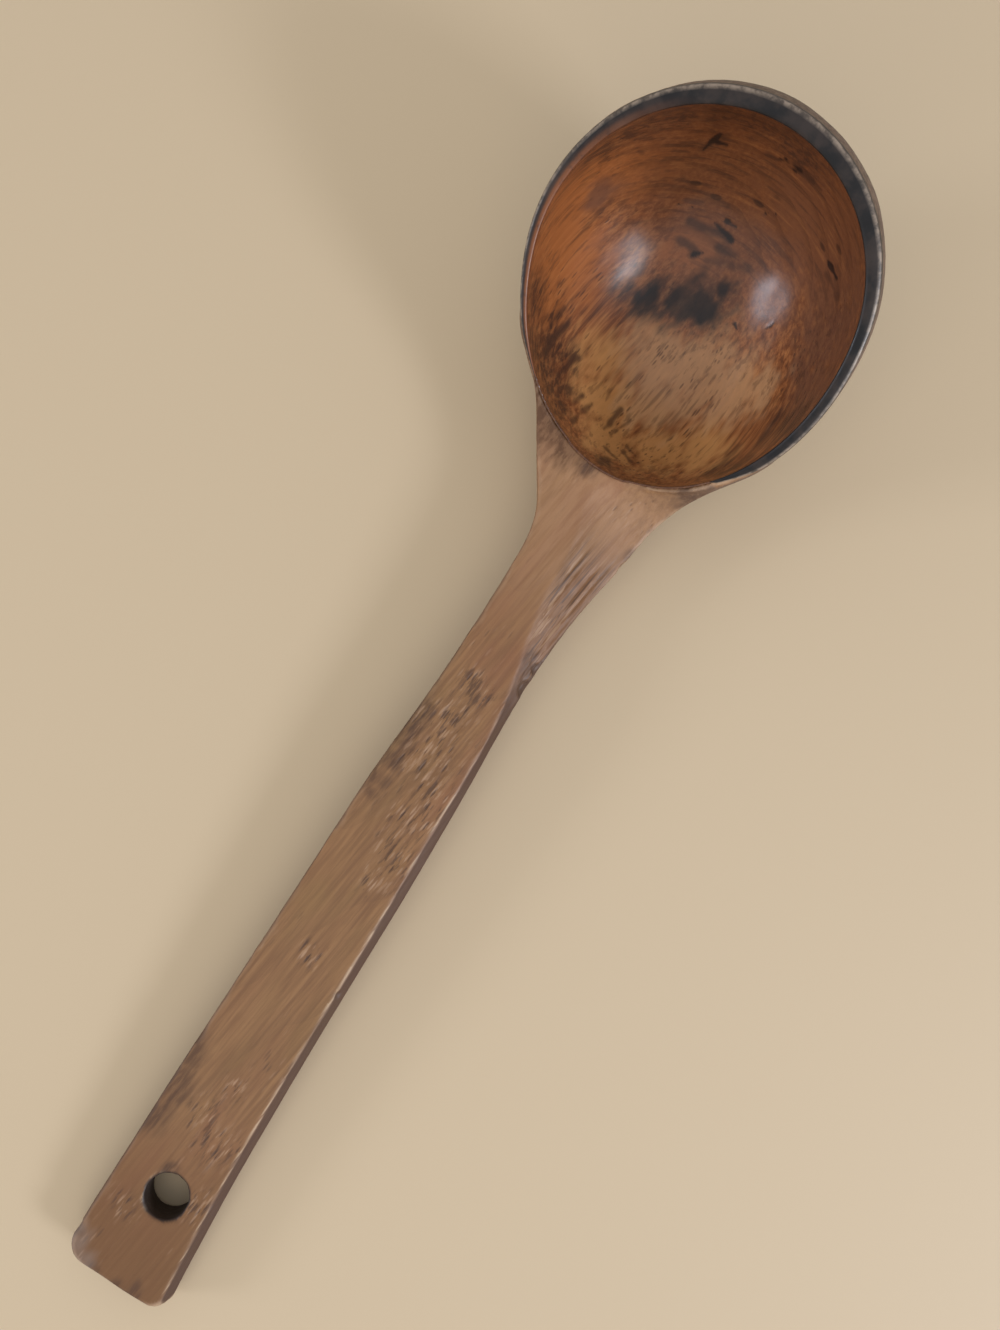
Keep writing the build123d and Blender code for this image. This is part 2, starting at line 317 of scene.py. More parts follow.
def carvedWoodMesh():
    blank = bpy.data.meshes.new("blank")
    form = bmesh.new()
    for name in ("carved_wood", "rim_lacquer", "bowl_lacquer"):
        form.from_mesh(nodes[name].data)
    form.to_mesh(blank)
    form.free()
    block = bpy.data.objects.new("block", blank)
    scene.collection.objects.link(block)
    remesh = block.modifiers.new("remesh", "REMESH")
    remesh.mode = "VOXEL"
    remesh.voxel_size = woodForm["voxel"]
    graph = bpy.context.evaluated_depsgraph_get()
    mesh = bpy.data.meshes.new_from_object(block.evaluated_get(graph))
    bpy.data.objects.remove(block)
    bpy.data.meshes.remove(blank)
    mesh.name = "carvedWood"
    edges = meshEdges(mesh)

    # take out the voxel steps without shrinking the form
    places = meshArrays(mesh)[0]
    rounds, inward, outward = woodForm["relax"]
    for step in range(rounds):
        places += inward * (neighbourMean(places, edges) - places)
        places -= outward * (neighbourMean(places, edges) - places)
    setPlaces(mesh, places)

    # outward bends are the worn edges
    places, normals = meshArrays(mesh)
    pull = neighbourMean(places, edges) - places
    bend = -(pull * normals).sum(axis=1, keepdims=True) / woodForm["voxel"]
    for step in range(woodForm["bendRounds"]):
        bend = neighbourMean(bend, edges)
    bend = bend[:, 0]
    worn = ease(bend, *woodForm["wornBend"])
    rounds, inward = woodForm["softening"]
    for step in range(rounds):
        places += inward * worn[:, None] * (neighbourMean(places, edges) - places)
    setPlaces(mesh, places)

    # knife work: long shallow facets all over, torn grain in patches, open grooves on the neck's flat
    span, facing = woodForm["span"], woodForm["facing"]
    places, normals = meshArrays(mesh)
    grainPlaces = alongGrain(places)
    x, y, z = (places / mm).T
    normalX, normalY, normalZ = normals.T
    ridge = np.array(woodForm["ridge"])[::-1]
    facet = ease(np.interp(x, ridge[:, 0], ridge[:, 1]) - y, *woodForm["facetEdge"])
    facet *= ease(x, *span["facetIn"]) * (1 - ease(x, *span["facetOut"])) * ease(normalZ, *facing["facet"])
    topSide = ease(normalZ, *facing["top"]) * (1 - ease(x, *span["topOut"]))
    torn = blobs(places, woodForm["tornPatches"], grainPlaces) * topSide
    coat = 1 - ease(surfaceDistance(places, "rim_lacquer", "bowl_lacquer"), *woodForm["coatReach"])
    bare = 1 - coat
    # outer: the outside of the bowl, whose colour layers are partly a painted sheen
    outer = ease(x + woodForm["outerSweep"] * np.abs(y), *span["outerIn"]) * bare
    shift = knifeMarks("toolMarks", grainPlaces) * bare
    shift += knifeMarks("outerMarks", grainPlaces) * outer
    shift -= knifeMarks("torn", grainPlaces, woodForm["tornCut"]) * torn * bare
    shift -= knifeMarks("grooves", grainPlaces, woodForm["grooveCut"]) * facet * bare
    nicks = np.zeros(len(places))
    for nx, ny, nz, radius, depth in woodForm["nicks"]:
        away = np.sqrt((x - nx) ** 2 + (y - ny) ** 2 + (z - nz) ** 2) / radius
        nicks = np.maximum(nicks, depth * (1 - ease(away, *woodForm["nickEdge"])))
    shift -= nicks * mm
    shift -= woodForm["coatDepth"] * coat
    setPlaces(mesh, places + normals * shift[:, None])

    # masks that the wood's colours use
    # painted shade: the handle's right and left sides and its end face are darkened by colour
    rightSide = ease(-normalY, *facing["right"])
    leftSide = woodForm["leftShade"] * ease(normalY, *facing["left"])
    endFace = ease(-normalX, *facing["endFace"]) * ease(-x, *span["endFaceIn"])
    shadedFlank = np.maximum(rightSide, leftSide) * (1 - ease(x, *span["shadedFlankOut"]))
    nearHole = np.hypot(x - woodForm["hole"][0], y - woodForm["hole"][1])
    spared = 1 - woodForm["leftWear"] * ease(normalY, *facing["unworn"])
    turned, spread = woodForm["arrisTurn"]
    arris = np.exp(-((-normalY - turned) / spread) ** 2) * ease(normalZ, *facing["arris"])
    masks = {
        "worn": ease(bend, *woodForm["edgeBend"]) * spared * ease(nearHole, *woodForm["holeWear"]),
        "arris": arris * (1 - ease(x, *span["arrisOut"])) * (1 - facet),
        # painted light: the top of the neck, where it faces up, is lightened
        "litNeckTop": ease(x, *span["neckIn"]) * topSide * (1 - facet),
        "run": blobs(places, woodForm["runs"], grainPlaces) * ease(normalZ, *facing["run"]),
        "cornerSheen": blobs(places, woodForm["cornerSheen"], grainPlaces),
        "shadedFlank": np.maximum(shadedFlank, endFace),
        "outer": outer,
        "stain": blobs(places, woodForm["stains"], grainPlaces),
        "end": ease(-x, *span["endIn"]),
        # painted shade inside the hanging hole
        "boreShade": ease(-surfaceTurn(places, normals), *facing["boreShade"]),
        "facet": facet,
        "torn": torn,
        "nick": np.clip(nicks / woodForm["nickFull"], 0, 1),
    }
    for name, values in masks.items():
        setMask(mesh, name, values)
    mesh.polygons.foreach_set("use_smooth", np.ones(len(mesh.polygons), dtype=bool))
    return mesh


def knifeMarks(name, grainPlaces, cut=None):
    # one kind of mark, as depth: a cut keeps only what lies between two levels of its noise
    depth, lengths, seed = woodForm[name]
    marks = ripple(grainPlaces, lengths, seed)
    return depth * (ease(marks, *cut) if cut else marks)


def surfaceTurn(places, normals):
    # how far the surface looks away from the hanging hole's axis, within the hole only
    away = places[:, :2] - np.array(woodForm["hole"][:2]) * mm
    near = np.sqrt((away ** 2).sum(axis=1)) / mm
    facing = (away * normals[:, :2]).sum(axis=1) / np.maximum(near * mm, 1e-6)
    return np.where(near < woodForm["hole"][2] + woodForm["holeReach"], facing, 0)


woodMesh = carvedWoodMesh()
print("wood carved and worn", len(woodMesh.vertices))

# Bowl lacquer: a thin coat that follows the hollow from its floor up to the lip
bowlCoat = {
    "cells": 250,
    "turns": 360,  # directions in which the coat's height is read
    "lean": (radians(30), radians(150)),  # its top lies between these
    "leanRounds": 24,
    "backStep": radians(0.15),  # a cast that misses leans back by this much
    "backRounds": 40,
    "eye": 7.0 * mm,  # point under the lip that the coat is cast from
    "thickness": 0.36 * mm,
    "relax": (6, 0.5),
    # shallow gouge marks that the lacquer has softened: depth, lengths in millimetres, seed
    "gouges": (0.16 * mm, (11, 6, 6), 8.4),
    "wobble": ((2.5, 2.5, 2.5), 6.6),  # strokes and cracks stray from a straight line
    # how far they stray, and the half widths where they are full and where they end
    "strokeEdge": (0.7, 0.3, 1.6),
    "crackEdge": (0.9, 0.5, 1.5),
    "crackDepth": 0.06 * mm,
    "tipFacing": (0.35, 0.85),
    "brimGrowth": (3, 1.25),
    "brimOut": (82, 90),
    # where the coat is clearer, darker or worn, and where shadow and a reflection are painted: x, y, z,
    # radius
    "amber": [(113, 34, 39, 17), (125, 28, 37, 14), (105, 34, 32, 18), (108, 28, 24, 14), (128, 6, 19, 10),
              (95, 28, 24, 10)],
    "ochre": [(96, 13, 9, 11), (88, 7, 8, 12), (78, 1, 10, 12), (84, -12, 9, 13), (87, -20, 13, 11)],
    # tan: a pale tan patch on the floor of the hollow, partly a painted reflection of a broad overhead light
    "tan": [(104, -1, 6, 16), (108, -10, 8, 16), (106, -20, 13, 13), (97, -5, 5, 14)],
    # darkBand: a dark band across the floor of the hollow
    "darkBand": [(120, 0, 12, 9.5), (118, 4, 11, 8), (116, 10, 11, 5), (124, -4, 16, 4),
               (114, 13, 12, 4)],
    # shade: darker worn patches, and the last three, at the top left under the lip, painted shadow of the
    # lip
    "shade": [(91, 31, 30, 8), (91, 26, 20, 9), (90, 22, 16, 8), (84, 23, 21, 12), (79, 18, 18, 10),
              (71, -2, 16, 4), (97, -32, 26, 8), (98, -34, 30, 8), (82, -28, 23, 8), (134, 14, 58, 10),
              (114, 14, 12, 7), (113, 17, 14, 6),
              (136, 6, 58, 10), (138, -4, 54, 10), (117, 32, 52, 12), (124, 28, 53, 12), (130, 22, 56, 11)],
    "ruddy": [(130, -24, 41, 24), (119, -31, 36, 22), (105, -35, 33, 16), (119, 30, 34, 7),
              (136, -12, 40, 18)],
    # dark strokes along the grain and across the tip's wall: two ends, half width, how dark
    "strokes": [((85, 24, 21), (96, 24, 16), 1.0, 0.9), ((84, 19, 16), (92, 18, 12), 0.8, 0.85),
                ((92, 26, 21), (98, 26, 19), 0.7, 0.7), ((71, 12, 22), (85, 12, 10), 0.7, 0.8),
                ((76, 10, 15), (85, 9, 9), 0.6, 0.75), ((81, 3, 9), (89, 2, 6), 0.7, 0.85),
                ((81, 1, 9), (88, -1, 6), 0.5, 0.7), ((69, -1, 18), (73, -2, 14), 1.0, 0.9),
                ((76, 0, 12), (75, -4, 13), 0.5, 0.8), ((78, -4, 10), (76, -7, 12), 0.5, 0.75),
                ((80, -4, 9), (79, -7, 10), 0.4, 0.7), ((83, -28, 25), (95, -31, 23), 1.2, 0.6),
                ((85, -31, 30), (95, -34, 31), 1.2, 0.6), ((80, -24, 20), (91, -27, 18), 1.1, 0.55),
                ((131, 11, 24), (133, 1, 23), 1.2, 0.85), ((128, 11, 20), (128, 6, 19), 1.0, 0.8),
                ((128, 3, 18), (130, -7, 21), 1.1, 0.6), ((131, 2, 21), (131, -2, 21), 1.2, 0.75),
                ((140, 2, 46), (138, -9, 48), 0.6, 0.75), ((130, -23, 35), (125, -28, 37), 0.8, 0.6),
                ((119, 33, 44), (127, 27, 42), 0.5, 0.55), ((127, 27, 42), (134, 14, 31), 0.5, 0.45),
                ((134, 14, 31), (136, 5, 29), 0.5, 0.5), ((136, 16, 41), (138, 12, 47), 0.9, 0.5)],
    # drying cracks: two ends and half width, in millimetres
    "cracks": [((140, -1, 47), (139, -6, 48), 0.6), ((139, -2, 48), (139, -5, 46), 0.38),
               ((136, 15, 41), (137, 13, 47), 0.52), ((138, 11, 44), (137, 14, 44), 0.38),
               ((133, 6, 25), (133, 0, 23), 0.6), ((134, 3, 26), (134, 1, 26), 0.45),
               ((131, -22, 37), (128, -25, 38), 0.45), ((120, -18, 18), (122, -19, 20), 0.3),
               ((120, -11, 14), (119, -12, 14), 0.38), ((127, 7, 18), (129, 5, 19), 0.45),
               ((137, -4, 32), (138, -6, 33), 0.3), ((131, 15, 27), (132, 12, 27), 0.3)],
}


def hollowSide(angle, lean):
    # from straight down, leaning out towards a side of the bowl
    flat = rimForward * cos(angle) + Vector((0, 1, 0)) * sin(angle)
    return flat * sin(lean) - rimUp * cos(lean)


def bowlLacquerMesh():
    solid = BVHTree.FromObject(nodes["bowl_lacquer"], bpy.context.evaluated_depsgraph_get())
    eye = lipCentre - rimUp * bowlCoat["eye"]

    def cast(angle, lean):
        way = hollowSide(angle, lean)
        hit, normal = solid.ray_cast(eye, way)[:2]
        return hit if hit is not None and normal.dot(way) < 0 else None

    def reach(angle):
        # how far up the side the coat goes
        low, high = bowlCoat["lean"]
        for step in range(bowlCoat["leanRounds"]):
            middle = (low + high) / 2
            if cast(angle, middle) is None:
                high = middle
            else:
                low = middle
        return low

    turns = bowlCoat["turns"]
    reaches = np.array([reach(2 * pi * k / turns - pi) for k in range(turns + 1)])
    readAngles = np.linspace(-pi, pi, turns + 1)
    cells = bowlCoat["cells"]
    places = []
    for i in range(cells + 1):
        for j in range(cells + 1):
            # a square grid laid on the round hollow, ring by ring
            a, b = 2 * i / cells - 1, 2 * j / cells - 1
            share = max(abs(a), abs(b))
            angle = 0.0
            if share > 0:
                angle = pi / 4 * b / a if abs(a) >= abs(b) else pi / 2 - pi / 4 * a / b
                if (abs(a) >= abs(b) and a < 0) or (abs(a) < abs(b) and b < 0):
                    angle += pi
            angle = (angle + pi) % (2 * pi) - pi
            lean = share * np.interp(angle, readAngles, reaches)
            hit = cast(angle, lean)
            for step in range(bowlCoat["backRounds"]):
                if hit is not None:
                    break
                lean -= bowlCoat["backStep"]
                hit = cast(angle, lean)
            places.append(hit)
    row = cells + 1
    faces = [(i * row + j, (i + 1) * row + j, (i + 1) * row + j + 1, i * row + j + 1)
             for i in range(cells) for j in range(cells)]
    mesh = bpy.data.meshes.new("bowlLacquer")
    mesh.from_pydata([tuple(p) for p in places], [], faces)
    mesh.update()
    places, normals = meshArrays(mesh)
    middle = (row * row) // 2
    if Vector(normals[middle]).dot(rimUp) < 0:
        mesh.flip_normals()
        places, normals = meshArrays(mesh)
    edges = meshEdges(mesh)
    inner = innerPoints(row)
    rounds, inward = bowlCoat["relax"]
    for step in range(rounds):
        places += inward * (neighbourMean(places, edges) - places) * inner[:, None]
    depth, lengths, seed = bowlCoat["gouges"]
    marks = ripple(alongGrain(places), lengths, seed)
    places = places + normals * (depth * marks * inner)[:, None]
    grainPlaces = alongGrain(places)

    # dark edge of the coat, along the neck
    brim = (1 - inner)[:, None]
    rounds, growth = bowlCoat["brimGrowth"]
    for step in range(rounds):
        brim = np.maximum(brim, growth * neighbourMean(brim, edges))
    brim = np.clip(brim[:, 0], 0, 1)

    wobble = ripple(grainPlaces, *bowlCoat["wobble"])
    cracks = [(*line, 1.0) for line in bowlCoat["cracks"]]
    crack = drawnLines(places, cracks, wobble, bowlCoat["crackEdge"])
    stroke = drawnLines(places, bowlCoat["strokes"], wobble, bowlCoat["strokeEdge"])
    places = places - normals * (bowlCoat["crackDepth"] * crack * inner)[:, None]
    setPlaces(mesh, places)
    tipWall = ease(-normals[:, 0], *bowlCoat["tipFacing"])
    setMask(mesh, "crack", crack)
    setMask(mesh, "stroke", stroke)
    setMask(mesh, "tipWall", tipWall)
    setMask(mesh, "side", 1 - tipWall)
    setMask(mesh, "brim", brim * (1 - ease(places[:, 0] / mm, *bowlCoat["brimOut"])))
    for name in ("amber", "ochre", "tan", "darkBand", "shade", "ruddy"):
        setMask(mesh, name, blobs(places, bowlCoat[name], grainPlaces))
    mesh.polygons.foreach_set("use_smooth", np.ones(len(mesh.polygons), dtype=bool))
    return mesh


def drawnLines(places, lines, wobble, style):
    # short lines with soft edges, 1 where they are darkest
    stray, full, edge = style
    drawn = np.zeros(len(places))
    for start, stop, width, dark in lines:
        away = fromLine(places, start, stop) + stray * wobble
        drawn = np.maximum(drawn, dark * (1 - ease(away, width * full, width * edge)))
    return drawn


def fromLine(places, start, stop):
    # how far each place lies from a short line, in millimetres, once its ends are set on the coat
    spots = places / mm
    a, b = [spots[((spots - tip) ** 2).sum(axis=1).argmin()] for tip in (start, stop)]
    shortest = 0.01  # square millimetres, so that two ends on one spot still make a dot
    t = np.clip(((spots - a) @ (b - a)) / max((b - a) @ (b - a), shortest), 0, 1)
    return np.sqrt(((spots - a - t[:, None] * (b - a)) ** 2).sum(axis=1))


def innerPoints(row):
    # 0 on the grid's border, 1 inside it
    inner = np.zeros((row, row))
    inner[1:-1, 1:-1] = 1
    return inner.ravel()


bowlMesh = bowlLacquerMesh()
print("bowl lacquer laid", len(bowlMesh.vertices))

# Rim lacquer: a dark band over the lip, rounded by wear and thin at its two ends
rimCoat = {
    "turns": 540,
    "below": 0.25 * mm,  # the lip is read this far under its top
    "skin": 0.02 * mm,  # step past the inner side, to find the outer one
    "fade": 14.0 * mm,
    # at its two ends: share of the width, share of the height, and how far it sinks in millimetres
    "ends": (0.4, 0.35, 0.30),
    "sway": (0.05, (9, 1, 1), 2.2),  # unevenness along the band: height, lengths in millimetres, seed
    "rubbed": (-0.3, 0.0),  # heights on the outer side where the lacquer is rubbed back
    # between these turns to the left the lacquer wears off the inner share of the lip
    "bared": (radians(25), radians(95)),
    "baredEdge": (0.2, 0.6),
    # share across the lip, shift outwards and height, in millimetres
    "profile": [(0, 0.00, -1.0), (0, -0.06, -0.55), (0, -0.02, -0.2), (0, 0.14, 0.0), (0.28, 0, 0.08),
                (0.5, 0, 0.10), (0.72, 0, 0.07), (1, -0.16, -0.03), (1, 0.03, -0.24), (1, 0.17, -0.6),
                (1, 0.26, -0.95), (1, -0.15, -0.8), (0.5, 0, -0.5), (0, 0.3, -0.8)],
}


def rimLacquerMesh():
    solid = BVHTree.FromObject(nodes["rim_lacquer"], bpy.context.evaluated_depsgraph_get())
    eye = lipCentre - rimUp * rimCoat["below"]
    skin = rimCoat["skin"]
    stations = []
    for k in range(rimCoat["turns"] + 1):
        angle = 2 * pi * k / rimCoat["turns"] - pi
        way = rimForward * cos(angle) + Vector((0, 1, 0)) * sin(angle)
        inner, normal, index, near = solid.ray_cast(eye, way)
        if inner is None:
            continue
        outer, normal, index, width = solid.ray_cast(inner + way * skin, way)
        if outer is not None:
            stations.append((angle, way, near, near + width + skin))
    # how far each station lies from the nearer end of the band
    walk = [0.0]
    for before, after in zip(stations, stations[1:]):
        walk.append(walk[-1] + (after[1] * after[3] - before[1] * before[3]).length)
    walk = np.array(walk)
    fromEnd = np.minimum(walk, walk[-1] - walk)
    full = ease(fromEnd, 0.0, rimCoat["fade"])
    uneven, lengths, seed = rimCoat["sway"]
    wave = uneven * ripple(np.stack([walk / mm, 0 * walk, 0 * walk], axis=1), lengths, seed)

    thin, low, sunk = rimCoat["ends"]
    rubbedLow, rubbedHigh = rimCoat["rubbed"]
    places, rubbed, bared = [], [], []
    for (angle, way, near, far), share, sway in zip(stations, full, wave):
        for part, shift, height in rimCoat["profile"]:
            width = (far - near) * (thin + (1 - thin) * share)
            reach = near + width * part + shift * mm * share
            rise = height * (low + (1 - low) * share) - sunk * (1 - share) + sway
            places.append(lipCentre + way * reach + rimUp * rise * mm)
            rubbed.append(1.0 if part == 1 and rubbedLow < height < rubbedHigh else 0.0)
            bared.append(ease(angle, *rimCoat["bared"]) * (1 - ease(part, *rimCoat["baredEdge"])))
    row = len(rimCoat["profile"])
    faces = [(s * row + k, s * row + (k + 1) % row, (s + 1) * row + (k + 1) % row, (s + 1) * row + k)
             for s in range(len(stations) - 1) for k in range(row)]
    last = (len(stations) - 1) * row
    faces += [tuple(range(row))[::-1], tuple(range(last, last + row))]
    mesh = bpy.data.meshes.new("rimLacquer")
    mesh.from_pydata([tuple(p) for p in places], [], faces)
    form = bmesh.new()
    form.from_mesh(mesh)
    bmesh.ops.recalc_face_normals(form, faces=form.faces)
    form.to_mesh(mesh)
    form.free()
    setMask(mesh, "rubbed", np.array(rubbed))
    setMask(mesh, "bared", np.array(bared))
    mesh.polygons.foreach_set("use_smooth", np.ones(len(mesh.polygons), dtype=bool))
    return mesh


rimMesh = rimLacquerMesh()
print("rim lacquer swept", len(rimMesh.vertices))

# Grain of the wood, seen bare or through a coat: sizes in millimetres along and across it
woodGrain = {
    # streaks: sizes, shift, detail, roughness
    "streaks": {
        "fibre": ((34, 1.0, 1.0), 0.0, 4.0, 0.62),
        "tone": ((44, 13, 13), 7.3, 3.0, 0.55),
        "patch": ((26, 9, 9), 3.7, 2.0, 0.5),
        "groove": ((16, 1.5, 1.5), 2.6, 3.0, 0.6),
        # score: fine lines on the neck's flat, painted as the shade and light of its grooves
        "score": ((24, 0.7, 0.7), 12.3, 2.0, 0.5),  # fine lines on the neck's flat
        "tear": ((6, 1.0, 1.0), 9.1, 3.0, 0.6),
        "tip": ((6, 15, 1.3), 5.8, 3.0, 0.6),  # end grain, on the tip's wall
    },
    # dashes: size of a cell, shift, where a dash ends and begins, which cells have one
    # real pores are about 0.2 mm wide and are drawn wider so that they show
    "dashes": {
        "pores": ((5, 0.85, 0.85), 0.0, (0.42, 0.16), (0.35, 0.5)),
        # pale dashes beside the pores: painted light on the raised sides of torn grain
        "litFlecks": ((5, 0.85, 0.85), 21.4, (0.42, 0.16), (0.42, 0.55)),
        "pits": ((7, 9, 4), 4.9, (0.24, 0.1), (0.5, 0.6)),
    },
    # growth rings, drawn wider than they are so that they show
    "ring": 5.2,
    "ringShape": (2, 1.1, 1),
    "ringShift": 1.9,
    "ringTilt": (radians(-16), radians(20), 0),
    # scale for one ring per size, distortion, detail, detail scale and roughness
    "ringWave": {"bands_direction": "Z", "wave_profile": "SAW", 1: 0.314, 2: 9.0, 3: 3.0, 4: 0.35, 5: 0.6},
    "fibreSpread": (0.28, 0.72),
}


def grainPlace(tree, lengths, shift):
    # grain coordinates, with lengths in millimetres along and across the grain
    spot = addNode(tree, "ShaderNodeTexCoord")
    turned = addNode(tree, "ShaderNodeMapping", {2: (0, 0, grain["turn"]), 3: (1 / mm, 1 / mm, 1 / mm)},
                     {0: spot.outputs["Object"]})
    sized = addNode(tree, "ShaderNodeMapping", {1: (shift, shift, shift), 3: [1 / n for n in lengths]},
                    {0: turned.outputs[0]})
    return sized.outputs[0]


def grainMarks(tree, look, extra):
    # the patterns that a look's layers name, and the extra ones
    wanted = {layer[3] for layer in look["layers"] if len(layer) > 3} | set(extra)
    marks = {}
    for name, (lengths, shift, detail, rough) in woodGrain["streaks"].items():
        if name in wanted:
            streak = addNode(tree, "ShaderNodeTexNoise", {2: 1.0, 3: detail, 4: rough},
                             {0: grainPlace(tree, lengths, shift)})
            marks[name] = streak.outputs[0]
    for name, (lengths, shift, reach, picks) in woodGrain["dashes"].items():
        if name in wanted:
            cells = addNode(tree, "ShaderNodeTexVoronoi", {2: 1.0, 8: 1.0},
                            {0: grainPlace(tree, lengths, shift)})
            near = addNode(tree, "ShaderNodeMapRange",
                           {"interpolation_type": "SMOOTHSTEP", 1: reach[0], 2: reach[1]},
                           {0: cells.outputs[0]})
            pick = addNode(tree, "ShaderNodeMapRange",
                           {"interpolation_type": "SMOOTHSTEP", 1: picks[0], 2: picks[1]},
                           {0: cells.outputs[1]})
            dash = addNode(tree, "ShaderNodeMath", {"operation": "MULTIPLY"},
                           {0: near.outputs[0], 1: pick.outputs[0]})
            marks[name] = dash.outputs[0]
    ringSizes = [woodGrain["ring"] * stretch for stretch in woodGrain["ringShape"]]
    tilted = addNode(tree, "ShaderNodeMapping", {2: woodGrain["ringTilt"]},
                     {0: grainPlace(tree, ringSizes, woodGrain["ringShift"])})
    rings = addNode(tree, "ShaderNodeTexWave", woodGrain["ringWave"], {0: tilted.outputs[0]})
    marks["rings"] = rings.outputs[1]
    return marks


def fibreColour(tree, marks, look):
    # deep, middle and light wood along the fibres
    low, high = woodGrain["fibreSpread"]
    spread = addNode(tree, "ShaderNodeMapRange", {"interpolation_type": "SMOOTHSTEP", 1: low, 2: high},
                     {0: marks["fibre"]})
    ramp = addNode(tree, "ShaderNodeValToRGB", None, {0: spread.outputs[0]})
    ramp.color_ramp.elements[0].color = hexColour(look["deep"])
    ramp.color_ramp.elements[1].color = hexColour(look["light"])
    ramp.color_ramp.elements.new(0.5).color = hexColour(look["mid"])
    return ramp.outputs[0]


def layOver(tree, marks, colour, tint, share, where=None, pattern=None, low=0.0, high=1.0, least=0.0):
    # one layer of colour: where is a mask on the mesh, and a pattern breaks the layer up
    strength = None
    if pattern:
        broken = addNode(tree, "ShaderNodeMapRange",
                         {"interpolation_type": "SMOOTHSTEP", 1: low, 2: high, 3: least * share, 4: share},
                         {0: marks[pattern]})
        strength = broken.outputs[0]
    if where:
        painted = addNode(tree, "ShaderNodeAttribute", {"attribute_name": where})
        links = {0: painted.outputs["Fac"]}
        if strength is not None:
            links[1] = strength
        strength = addNode(tree, "ShaderNodeMath", {"operation": "MULTIPLY", 1: share}, links).outputs[0]
    mixed = addNode(tree, "ShaderNodeMix", {"data_type": "RGBA", 7: hexColour(tint)},
                    {0: strength, 6: colour})
    return mixed.outputs[2]


def paintLayers(tree, marks, look, colour):
    for tint, share, *rest in look["layers"]:
        colour = layOver(tree, marks, colour, look[tint], share, *rest)
    return colour


def finishMaterial(tree, look, colour, height, glossMark):
    # relief, roughness and shader, which the three looks share
    bump = addNode(tree, "ShaderNodeBump", {0: look["bumpStrength"], 1: look["bump"]}, {"Height": height})
    low, high = look["roughOver"]
    rough = addNode(tree, "ShaderNodeMapRange", {1: low, 2: high, 3: look["rough"][0], 4: look["rough"][1]},
                    {0: glossMark})
    shader = addNode(tree, "ShaderNodeBsdfPrincipled", {3: look["ior"]},
                     {0: colour, 2: rough.outputs[0], "Normal": bump.outputs[0]})
    addNode(tree, "ShaderNodeOutputMaterial", None, {0: shader.outputs[0]})
    return shader


# Oiled wood, carved with a knife and never sanded: long fibres, short open pores along the grain,
# satin where hands rub it
woodLook = {
    "deep": "#7b5739", "mid": "#876240", "light": "#946d48",
    "ruddy": "#8a5c40", "olive": "#86683f",
    # pore: real pores and rings, and painted shade on torn grain and in grooves; pale: painted light on
    # their other sides
    "pore": "#4a3326",
    "pale": "#b39174",
    "worn": "#b29478",
    "arris": "#c4a888",
    # painted shade on the handle's sides and end face
    "shadedFlank": "#452a1b",
    # painted shade on the neck's right flat
    "facet": "#7b5634",
    # outside of the bowl: brown wood whose grey tone is partly a painted sheen
    "outer": "#63544b", "outerDark": "#403228", "outerPale": "#7e6d60",
    "stain": "#4c3426",
    "end": "#6f4a2a",
    # painted light on the top of the neck
    "litNeckTop": "#a67e5c",
    "run": "#573820",
    # painted sheen on the end corner
    "cornerSheen": "#8d8580",
    # painted shade inside the hanging hole
    "boreShade": "#2c221d",
    "ior": 1.38,
    "rough": (0.62, 0.5), "roughOver": (0.3, 0.7),
    "bump": 0.25 * mm, "bumpStrength": 0.5,
    "patchy": (0.5, 0.72, 0.06, 0.6),  # patches' low and high edge, pores between them and in them
    "poreDepth": 0.8,
    # colour, share, mask, pattern with its low and high edge, part of the share that stays between
    "layers": [
        ("ruddy", 0.6, None, "tone", 0.48, 0.72),
        ("olive", 0.4, None, "tone", 0.46, 0.3),
        ("pore", 0.1, None, "rings", 0.75, 1.0),
        ("end", 0.7, "end"),
        # outside of the bowl: grey-brown, partly a painted sheen
        ("outer", 0.7, "outer"),
        ("outerDark", 0.45, "outer", "groove", 0.54, 0.38),
        ("outerPale", 0.35, "outer", "fibre", 0.52, 0.68),
        ("litNeckTop", 0.7, "litNeckTop", "groove", 0.36, 0.62, 0.5),
        # painted shade: the neck's right flat is darkened
        ("facet", 0.55, "facet"),
        # pale flecks and dark dashes: painted light and painted shade on the sides of torn grain, over real
        # pores
        ("pale", 0.5, None, "litFlecks"),
        ("pore", 0.7, None, "pores"),
        ("pale", 0.42, "torn", "tear", 0.55, 0.66),
        ("pore", 0.7, "torn", "tear", 0.46, 0.36),
        # painted shade and painted light along the open grooves of the neck's right flat
        ("pore", 0.75, "facet", "score", 0.46, 0.36),
        ("pale", 0.6, "facet", "score", 0.56, 0.66),
        ("shadedFlank", 0.88, "shadedFlank"),
        ("worn", 0.9, "worn", "patch", 0.35, 0.6, 0.28),
        ("arris", 0.85, "arris", "groove", 0.46, 0.6, 0.06),
        ("run", 0.95, "run", "groove", 0.62, 0.42, 0.6),
        ("stain", 0.7, "stain", "tear", 0.62, 0.42, 0.4),
        ("stain", 0.4, "nick"),
        ("cornerSheen", 0.3, "cornerSheen"),
        ("boreShade", 0.9, "boreShade"),
    ],
}


